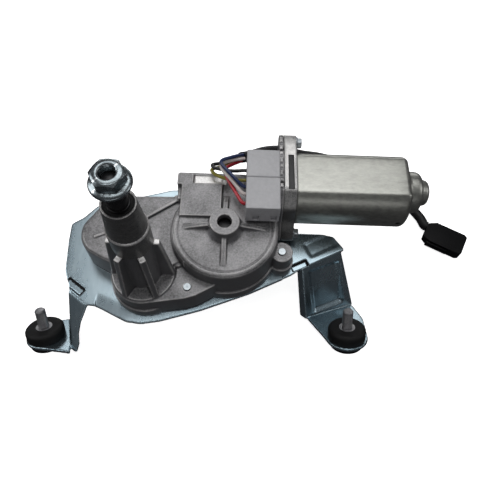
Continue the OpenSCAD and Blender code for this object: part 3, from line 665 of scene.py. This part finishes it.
def smooth_route(points, relaxed, steps=6):
    """Points of a smooth curve through the route, with even speed so that close points make no
    kink. relaxed rounds of averaging ease its tightest bends."""
    p = [Vector(points[0]) * 2 - Vector(points[1]), *map(Vector, points)]
    p.append(p[-1] * 2 - p[-2])
    out = []
    for a, b, c, d in zip(p, p[1:], p[2:], p[3:]):
        t1 = (b - a).length ** 0.5
        t2 = t1 + (c - b).length ** 0.5
        t3 = t2 + (d - c).length ** 0.5
        for i in range(steps):
            t = t1 + (t2 - t1) * i / steps
            ab = a.lerp(b, t / t1)
            bc = b.lerp(c, (t - t1) / (t2 - t1))
            cd = c.lerp(d, (t - t2) / (t3 - t2))
            early, late = ab.lerp(bc, t / t2), bc.lerp(cd, (t - t1) / (t3 - t1))
            out.append(early.lerp(late, (t - t1) / (t2 - t1)))
    out.append(p[-2])
    for _ in range(relaxed):
        out[1:-1] = [(a + b * 2 + c) / 4 for a, b, c in zip(out, out[1:], out[2:])]
    return out


def make_cord(node, diameter, relaxed=0):
    points = smooth_route(ROUTES[node], relaxed)
    curve = bpy.data.curves.new(node + "_line", "CURVE")
    curve.dimensions, curve.bevel_depth, curve.bevel_resolution = "3D", diameter / 2 * MM, 6
    curve.use_fill_caps = True
    spline = curve.splines.new("POLY")
    spline.points.add(len(points) - 1)
    for spot, p in zip(spline.points, points):
        spot.co = (*at(*p), 1)
    spline.use_smooth = True
    curve.materials.append(MATERIALS[SLOTS[node]])
    thing = bpy.data.objects.new(node + "_lead", curve)
    bpy.context.scene.collection.objects.link(thing)
    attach(thing, "housing")
    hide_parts(node)


CONNECTOR_PLACE = (180.1, 59.15, -50.25)  # middle of its cable end
CONNECTOR_YAW = -27
CONNECTOR_LONG = 26.9
NECK, RIM = 5, 2.2  # lengths of the tapered stretches at the cable and at the mating face


def shape_connector(mesh):
    """Narrows the connector toward its cable and chamfers the rim of its mating face."""
    neck_taper, rim_taper = 0.3, 0.12
    yaw = Matrix.Rotation(math.radians(CONNECTOR_YAW), 4, "Z")
    place = Matrix.Translation(at(*CONNECTOR_PLACE)) @ yaw
    made = bmesh.new()
    made.from_mesh(mesh)
    bmesh.ops.transform(made, matrix=place.inverted(), verts=made.verts)
    for x in (NECK * MM, CONNECTOR_LONG * MM - RIM * MM):
        everything = [*made.verts, *made.edges, *made.faces]
        bmesh.ops.bisect_plane(made, geom=everything, plane_co=(x, 0, 0), plane_no=(1, 0, 0))
    for vertex in made.verts:
        at_cable = max(0.0, 1 - vertex.co.x / (NECK * MM))
        at_rim = (vertex.co.x / MM - CONNECTOR_LONG + RIM) / RIM
        share = max(at_cable * neck_taper, rim_taper * at_rim)
        vertex.co.y *= 1 - share
        vertex.co.z *= 1 - share
    bmesh.ops.transform(made, matrix=place, verts=made.verts)
    made.to_mesh(mesh)
    made.free()


connector = bevelled("lead_connector", "cable_connector", width=0.5)
shape_connector(connector.data)
latch = bevelled("lead_connector_latch", "connector_latch", width=0.25)
for wire in WIRE_COLOURS:
    make_cord(wire, WIRE_D, WIRE_ROUNDS)
make_cord("cable_sheath", SHEATH_D)

# ---------------------------------------------------------------- casting

WHEEL_X, WHEEL_Y = 43.4, 23.8  # axis of the worm wheel
CASE_R, FACE_Z = 30.0, 10.0  # round gear case: its radius and the height of its face
LOBE_TOP = 3.0  # height of the lower, flat lobe that carries the tower
COLLAR_R = 10.35  # just outside the machined collar of the tower
COLLAR_LOW, COLLAR_HIGH = 38.1, 52.75  # heights of the collar's two shoulders
# Outline of the lobe, walked counter-clockwise
LOBE = [
    (16, 48.4), (-14, 47.6), (-29, 40.6), (-37.8, 27), (-37.6, 18.5), (-33.6, 11.6), (-25.4, 7),
    (-14, 2), (10, 0),
]
# Small cast pads along the upper edge of the motor flange: start along Y and width
FLANGE_PADS = [
    (44.5, 2.6), (49.0, 1.6), (52.6, 3.4), (58.0, 1.6), (61.5, 3.0), (66.8, 1.6), (70.5, 2.6),
    (75.5, 3.5),
]
# Heights of the small cast nibs on the flange's front edge
FLANGE_NIBS = (-3.5, 0.5, 4.5)
# Recess in the top of the worm block
RECESS = ((33.6, 55.6, 11.2), (1, 0, 0), (0, 1, 0), (9.0, 3.6), -1.3, 0.8, 0.8)
# The casting's materials by index; the turned one also gives painted highlight, and bore_shadow
# painted shadow
CASTING_SKINS_AND_PAINTED_LIGHT = ("cast_aluminium", "machined_aluminium", "turned_aluminium", "bore_shadow")


def add_boxes(mesh, boxes):
    """Adds boxes, given by two corners in mm from the tower's foot."""
    made = bmesh.new()
    made.from_mesh(mesh)
    for low, high in boxes:
        low, high = at(*low), at(*high)
        scale = Matrix.Diagonal((*(high - low), 1))
        bmesh.ops.create_cube(made, size=1, matrix=Matrix.Translation((low + high) / 2) @ scale)
    made.to_mesh(mesh)
    made.free()


def round_edge(p, outline, top, radius, allowed):
    """Rounds the upper edge of a wall that stands on an outline, walked counter-clockwise with the
    solid on its left. allowed marks the vertices that may move."""
    near, inward = distance_to(outline, p)
    out, up = radius - near, p[:, 2] - (top - radius)
    chosen = allowed & (out > 0) & (up > 0) & (up < radius + 0.3)
    size = np.maximum(out, up) / np.maximum(np.hypot(out, up), 1e-9)
    p[chosen, :2] += inward[chosen] * (out - out * size)[chosen, None]
    p[chosen, 2] = top - radius + (up * size)[chosen]


def round_case_rim(p, fillet):
    """Rounds the rim of the round gear case, except at the worm block and at the motor flange."""
    centre = np.array([WHEEL_X, WHEEL_Y])
    away = p[:, :2] - centre
    r = np.linalg.norm(away, axis=1)
    out, up = r - (CASE_R - fillet), p[:, 2] - (FACE_Z - fillet)
    rim = (out > 0) & (up > 0) & (out < fillet + 0.25) & (up < fillet + 0.25)
    worm_block = (p[:, 1] > 44) & (p[:, 0] < 42)
    motor_flange = (p[:, 0] > 66) & (p[:, 1] > 33)
    rim &= ~worm_block & ~motor_flange
    size = np.maximum(out, up) / np.maximum(np.hypot(out, up), 1e-9)
    ratio = (CASE_R - fillet + out * size) / np.maximum(r, 1e-9)
    p[rim, :2] = centre + away[rim] * ratio[rim, None]
    p[rim, 2] = FACE_Z - fillet + (up * size)[rim]
    return r


def sink_groove(p, r, radius, half_width, depth):
    """Sinks a shallow ring into the gear case's face, short of the worm block."""
    on_face = (p[:, 2] > FACE_Z - 0.7) * (p[:, 1] < 40)
    groove = np.exp(-(((r - radius) / half_width) ** 2)) * on_face
    p[:, 2] -= depth * groove * (p[:, 2] < FACE_Z + 0.4)


def casting_skin_and_painted_light(c):
    """Index into CASTING_SKINS_AND_PAINTED_LIGHT of each face, from its centre. The up-facing
    shoulders of the collar take the lighter turned colour, partly the turned face and partly
    painted highlight; the recess floor takes it as painted highlight, and the boss's bore takes
    painted shadow.
    """
    radius = np.hypot(c[:, 0], c[:, 1])
    machined = (radius < COLLAR_R) & (c[:, 2] > 37.8) | (radius < 14) & (c[:, 2] > 37.5)
    # Up-facing shoulder rings take the lighter turned colour: partly the turned face, partly
    # painted highlight
    shoulder = (radius > 9.2) & (radius < 11) & (np.abs(c[:, 2] - COLLAR_HIGH) < 0.8)
    shoulder |= (radius > COLLAR_R) & (radius < 14) & (np.abs(c[:, 2] - COLLAR_LOW) < 0.55)
    skin = machined.astype(np.int32) + shoulder.astype(np.int32)
    # Painted highlight: the recess floor takes the light turned colour
    recess = (np.abs(c[:, 0] - 33.9) < 9.2) & (np.abs(c[:, 1] - 55.0) < 2.9)
    skin[recess & (np.abs(c[:, 2] - 10.2) < 1.0)] = 2
    boss_bore = np.hypot(c[:, 0] - WHEEL_X, c[:, 1] - WHEEL_Y) < 4.6
    skin[boss_bore & (c[:, 2] > 2) & (c[:, 2] < 14.2)] = 3
    return skin


def make_casting():
    source = welded_copy("gear_housing")
    add_boxes(source, [((73.1, y, 20.5), (75.2, y + w, 21.9)) for y, w in FLANGE_PADS])
    add_boxes(source, [((72.2, 34.6, z), (74.0, 37.0, z + 1.5)) for z in FLANGE_NIBS])
    mesh = fused(source, 0.42, 4)
    p = in_foot_mm(mesh)
    r = round_case_rim(p, 2.4)
    sink_groove(p, r, 26.3, 0.55, 0.32)
    p = pressed(p, *RECESS)
    beside_tower = (np.hypot(p[:, 0], p[:, 1]) > 18.6) & (p[:, 0] < 13)
    round_edge(p, LOBE, LOBE_TOP, 2.6, beside_tower)
    store_foot_mm(mesh, p)
    skins = [MATERIALS[skin] for skin in CASTING_SKINS_AND_PAINTED_LIGHT]
    piece("gear_case_casting", mesh, "cast_aluminium", "housing", ("gear_housing",), skins,
          smooth=0)
    mesh.shade_smooth()
    mesh.polygons.foreach_set("material_index", casting_skin_and_painted_light(face_centres(mesh)))


make_casting()

# ---------------------------------------------------------------- bracket


PLATE_Z = -19.0  # middle of the bracket's plate
# Embossed rectangles, as pressed() takes them: centre, direction along, direction across, half
# sizes, depth, blend and, if it isn't the usual one, reach
LEG_PANEL = ((106.3, 9.2, -34.8), (6.9, -20.9, -30.2), (26.0, 12.0, -4.0), (14.5, 10.0), -2.2, 3.4,
             2.6)
TAB_PANEL = ((101.5, 29.5, PLATE_Z), (22.8, 11.8, 0), (-0.46, 0.89, 0), (9.5, 4.6), -0.5, 3.0)
RIGHT_NOTCH = ((88.2, 15.2, PLATE_Z), (22.8, 11.8, 0), (-0.46, 0.89, 0), (5.2, 2.0), -1.5, 0.7)
LEFT_NOTCH = ((-42.4, -2.6, PLATE_Z), (10.2, -7.4, 0), (0.59, 0.81, 0), (6.2, 2.3), -1.6, 0.7)
# Front edge of the plate, bent down a little
FRONT_EDGE = [
    (-33.4, -13.6), (-28.6, -14), (-10.8, -22.5), (-2.3, -23.4), (8, -21.6), (30.7, -14.6),
    (58.9, -3.3), (82.9, 8.8),
]


def slot_shadow(c, notch, band=1.1):
    """Marks the faces along a notch's inner and far edges for painted shadow, which stands for the
    dark of the slot sheared through the sheet.
    """
    origin, along, across, size = notch[:4]
    u = np.array(along, float) / np.linalg.norm(along)
    v = np.array(across, float) / np.linalg.norm(across)
    off = c - np.array(origin, float)
    a, b = off @ u, off @ v
    inside = (np.abs(a) < size[0] + 0.3) & (np.abs(b) < size[1] + 0.3)
    inside &= np.abs(off[:, 2]) < 4
    return inside & ((b > size[1] - band) | (a > size[0] - band))


def make_bracket():
    mesh = fused(welded_copy("mounting_bracket"), 0.5, 8, snug=True)
    p = in_foot_mm(mesh)
    for rectangle in (LEG_PANEL, TAB_PANEL, RIGHT_NOTCH, LEFT_NOTCH):
        p = pressed(p, *rectangle)
    droop, droop_width = 0.9, 8
    near, _ = distance_to(FRONT_EDGE, p)
    plate = (np.abs(p[:, 2] - PLATE_Z) < 1.8) & (p[:, 0] > -29) & (p[:, 0] < 78)
    p[:, 2] -= droop * plate * np.clip(1 - near / droop_width, 0, 1) ** 1.5
    store_foot_mm(mesh, p)
    piece("pressed_bracket", mesh, "zinc_sheet", "housing", ("mounting_bracket",),
          [MATERIALS["zinc_sheet"], MATERIALS["bore_shadow"]], smooth=0)
    mesh.shade_smooth()
    c = face_centres(mesh)
    # Painted shadow along the notches' inner and far edges
    painted_slot_shadow = slot_shadow(c, RIGHT_NOTCH) | slot_shadow(c, LEFT_NOTCH)
    mesh.polygons.foreach_set("material_index", painted_slot_shadow.astype(np.int32))


make_bracket()

# ---------------------------------------------------------------- feet

FEET = {"left": (-60.2, -26.3, -37.6), "right": (116.8, -22.3, -33.4)}
FOOT_TURN = Matrix.Rotation(math.radians(-5), 4, "Y") @ Matrix.Rotation(math.radians(-35), 4, "X")
THREAD_LOW, THREAD_HIGH = 6.7, 17.4  # visible thread of a stud
STUD_PITCH = 1.0
GROMMET = [
    (4.6, -6), (9.6, -6), (10.4, -3), (10.4, -2), (7, -2), (7, 0), (11, 0), (11, 5), (9.6, 6.5),
    (4.6, 6.5), (4.6, 6.4),
]
STUD = [
    (0, -7.8), (6.2, -7.8), (6.5, -7.4), (6.5, -6.3), (6.2, -6), (2.95, -6), (2.95, 5.8),
    (2.6, 5.9), (2.6, 6.5), (2.9, 6.6),
    *thread(THREAD_LOW, THREAD_HIGH, 3.0, STUD_PITCH),
    (2.9, 17.6), (2.4, 18.3), (1.2, 18.5), (0, 18.5),
]
for side, place in FEET.items():
    turn = Matrix.Translation(at(*place)) @ FOOT_TURN
    lathe("grommet_rubber_" + side, GROMMET, "rubber_black", turn, replaces=("grommet_" + side,),
          closed=True, cut=0.7)
    lathe("foot_stud_" + side, STUD, "plain_steel", turn, replaces=("stud_" + side,), sides=64,
          cut=0, shape=thread_shape(THREAD_LOW, THREAD_HIGH, STUD_PITCH, 0.28))

# ---------------------------------------------------------------- shaft and nut


M8_PITCH = 1.25
NUT_Z = 88  # underside of the nut's flange
NUT_BORE = 3.33
HEX = 99  # stands in a profile where the radius follows a hexagon


def hexagon(flats, corner):
    """Radius of a hexagon's outline at given angles, with its corners cut at a radius."""

    def radius(angles):
        return np.minimum(flats / 2 / np.cos((angles + TAU / 12) % (TAU / 6) - TAU / 12), corner)

    return radius


def make_nut():
    outline = hexagon(13, 7.4)
    chamfer_top, flange_top = 7.72, 2.2

    def shape(radius, height, angles):
        if radius == HEX:
            cap = 6.0 + 1.6 * max(0.0, chamfer_top - height)
            foot = 6.3 + max(0.0, height - flange_top) * 3.0
            return np.minimum(np.minimum(outline(angles + TAU / 12), cap), foot)
        r = np.full(len(angles), float(radius))
        if radius == NUT_BORE and 0.5 < height < 7.2:
            r += 0.42 * helix(height, angles, M8_PITCH)
        return r

    profile = [
        (4.3, 0.0),
        *[(NUT_BORE, 0.3 + 0.16 * i) for i in range(44)],
        (3.5, 7.45), (4.05, 7.95), (4.3, 8.0), (4.8, 7.97), (5.5, 7.87), (5.9, 7.76),
        *[(HEX, chamfer_top - 0.08 * i) for i in range(14)],
        *[(HEX, 6.6 - 0.8 * i) for i in range(5)],
        (HEX, 2.9), (HEX, 2.45), (6.75, 2.3), (7.5, 2.1), (8.35, 1.7), (8.8, 1.3), (8.95, 0.9),
        (8.95, 0.35), (8.8, 0.1), (8.5, 0.0),
    ]
    nut = lathe("flanged_hex_nut", profile, "bright_zinc", Matrix.Translation(at(0, 0, NUT_Z)),
                "nut", ("flange_nut",), 180, shape, cut=0, closed=True)
    nut.data.materials[0] = MATERIALS["nut_zinc"]


def make_shaft():
    """The output shaft with its knurled cone and threaded end."""
    knurl_teeth, knurl_depth, thread_depth = 40, 0.16, 0.25

    def shape(radius, height, angles):
        r = np.full(len(angles), float(radius))
        if 79.3 < height < 83.3:
            r -= knurl_depth * (0.5 + 0.5 * np.cos(angles * knurl_teeth))
        if 88.0 < height < 91.6:
            r -= thread_depth * helix(height, angles, M8_PITCH)
        return r

    profile = [
        (0, -13), (3.6, -13), (4, -12.6), (4, -3.3), (5, -3.3), (5, 62.2), (4.6, 62.25),
        (4.6, 63.25), (5, 63.3), (5, 73.35), (4.5, 73.5), (4.5, 73.95), (4.9, 74.05), (4.9, 79.0),
        (4.82, 79.25),
        *[(4.9 - 0.9 * i / 8, 79.0 + 4.5 * i / 8) for i in range(1, 8)],
        (3.98, 83.45), (3.95, 83.6), (3.95, 87.5), (3.2, 87.8),
        *[(3.25, 87.9 + 0.15 * i) for i in range(25)],
        (2.9, 91.7), (2.5, 92.0), (0, 92.0),
    ]
    lathe("wiper_shaft", profile, "black_steel", Matrix.Translation(at(0, 0, 0)), "output",
          ("output_shaft",), 160, shape, cut=0)


make_nut()
make_shaft()

# ---------------------------------------------------------------- motor


MOTOR_Y, MOTOR_Z = 55.4, 3.5  # axis of the motor, along X
CAN_X, CAN_END = 83.0, 148.2
CAN_R, CAN_FLAT = 20.6, 16.5  # radius, and distance of the two flats from the axis
CAN_SIDES = 240
CAN_WALL = 1.8
VENT = (143, 36, 2.0)
# Stepped domes of the closed end: (x, radius)
DOMES = [
    (148.2, 14.2), (148.3, 13.2), (148.8, 12.5), (149.6, 12.25), (150.4, 12.2), (153.4, 12.2),
    (154.6, 12.0), (155.6, 11.5), (156.4, 10.7), (156.9, 9.6), (157.1, 8.6), (157.3, 8.0),
    (157.8, 7.75), (159.2, 7.7), (160.4, 7.35), (161.3, 6.6), (161.9, 5.4), (162.15, 3.6),
    (162.2, 1.6), (162.2, 0.01),
]
# The same end from inside, walked back
DOMES_INSIDE = [(161.0, 0.01), (161.0, 3.6), (151.4, 4.0), (151.4, 9.0), (146.8, 9.4)]


def can_section(inset):
    """Radii round the can's section, a circle with two flats and soft corners between them."""
    softness, corner = 0.264, 1.1
    angles = np.arange(CAN_SIDES) * TAU / CAN_SIDES
    across = (CAN_FLAT - inset) / np.maximum(np.abs(np.sin(angles)), 1e-3)
    circle = np.full(CAN_SIDES, CAN_R - inset)
    gap = np.abs(across - circle)
    return np.minimum(across, circle) - softness * np.exp(-gap / corner) * (gap < 6)


def can_ring(x, radii):
    angles = np.arange(CAN_SIDES) * TAU / CAN_SIDES
    return np.stack([np.full(CAN_SIDES, x), MOTOR_Y + radii * np.cos(angles),
                     MOTOR_Z + radii * np.sin(angles)], 1)


def with_vent(mesh):
    """The can with its vent hole drilled through the wall."""
    drill = bpy.data.meshes.new("drill")
    made = bmesh.new()
    place = Matrix.Translation(at(*VENT)) @ Matrix.Rotation(math.pi / 2, 4, "X")
    bmesh.ops.create_cone(made, cap_ends=True, segments=32, radius1=1.3 * MM, radius2=1.3 * MM,
                          depth=8 * MM, matrix=place)
    made.to_mesh(drill)
    made.free()
    thing, cutter = holder(mesh), holder(drill)
    hole = thing.modifiers.new("vent", "BOOLEAN")
    hole.operation, hole.object, hole.solver = "DIFFERENCE", cutter, "EXACT"
    drilled = evaluated(thing)
    bpy.data.objects.remove(cutter)
    return drilled


def make_can():
    bend = 3.2  # radius between the walls and the closed end
    rings = [can_ring(CAN_X, can_section(0.3)), can_ring(CAN_X + 0.3, can_section(0))]
    for x in np.linspace(CAN_X + 1.5, CAN_END - bend, 12):
        rings.append(can_ring(x, can_section(0)))
    for i in range(1, 9):
        t = i / 8 * math.pi / 2
        x = CAN_END - bend + bend * math.sin(t)
        rings.append(can_ring(x, can_section(bend * (1 - math.cos(t)))))
    for t in (0.3, 0.6, 0.85):
        rings.append(can_ring(CAN_END, can_section(bend) * (1 - t) + DOMES[0][1] * t))
    for x, r in DOMES + DOMES_INSIDE:
        rings.append(can_ring(x, np.full(CAN_SIDES, r)))
    rings.append(can_ring(CAN_END - CAN_WALL, can_section(1.9)))
    rings.append(can_ring(CAN_X, can_section(CAN_WALL)))
    mesh = grid_mesh("motor_can_shell", (np.array(rings) + FOOT) * MM, closed=True)
    piece("motor_can_shell", with_vent(mesh), "can_steel", "housing", ("motor_can",), smooth=50)


make_can()
bevelled("motor_end_plate", "end_plate", width=0.5)
bevelled("wiring_socket", "terminal_socket", width=0.9, segments=4)
bevelled("wiring_plug", "harness_plug", width=0.9, segments=4)
bevelled("gearbox_cover_plate", "housing_cover", width=0.3)
bevelled("brush_card", "brush_holder", width=0.25)


def make_motor_screws():
    """Flanged hexagon screws of the motor, one mesh for both."""
    outline = hexagon(5.5, 3.05)
    head_top = 3.4

    def shape(radius, height, angles):
        if radius == HEX:
            return np.minimum(outline(angles), 2.75 + max(0.0, head_top - height) * 1.6)
        return np.full(len(angles), float(radius))

    profile = [
        (0, -9.8), (1.7, -9.8), (1.98, -9.4), (1.98, 0), (3.55, 0), (3.7, 0.15), (3.7, 0.7),
        (3.5, 0.95), (3.1, 1.05),
        *[(HEX, height) for height in (1.1, 1.6, 2.4, 2.8, 3.0, 3.2, head_top)],
        (1.9, head_top), (1.6, 2.7), (0, 2.7),
    ]
    made = bmesh.new()
    for sign in (1, -1):
        place = Matrix.Translation(at(CAN_X, MOTOR_Y + sign * 23, MOTOR_Z + sign * 13.4))
        turn = place @ Matrix.Rotation(math.radians(90), 4, "Y")
        mesh = grid_mesh("screw", lathe_rings(profile, 72, turn, shape))
        made.from_mesh(mesh)
    joined = bpy.data.meshes.new("motor_fixing_screws")
    made.to_mesh(joined)
    made.free()
    piece("motor_fixing_screws", joined, "bright_zinc", "housing", ("motor_screws",))


make_motor_screws()

# ---------------------------------------------------------------- remaining CAD nodes

for node_name, thing in NODES.items():
    thing.data.materials.clear()
    thing.data.materials.append(MATERIALS[SLOTS[node_name]])
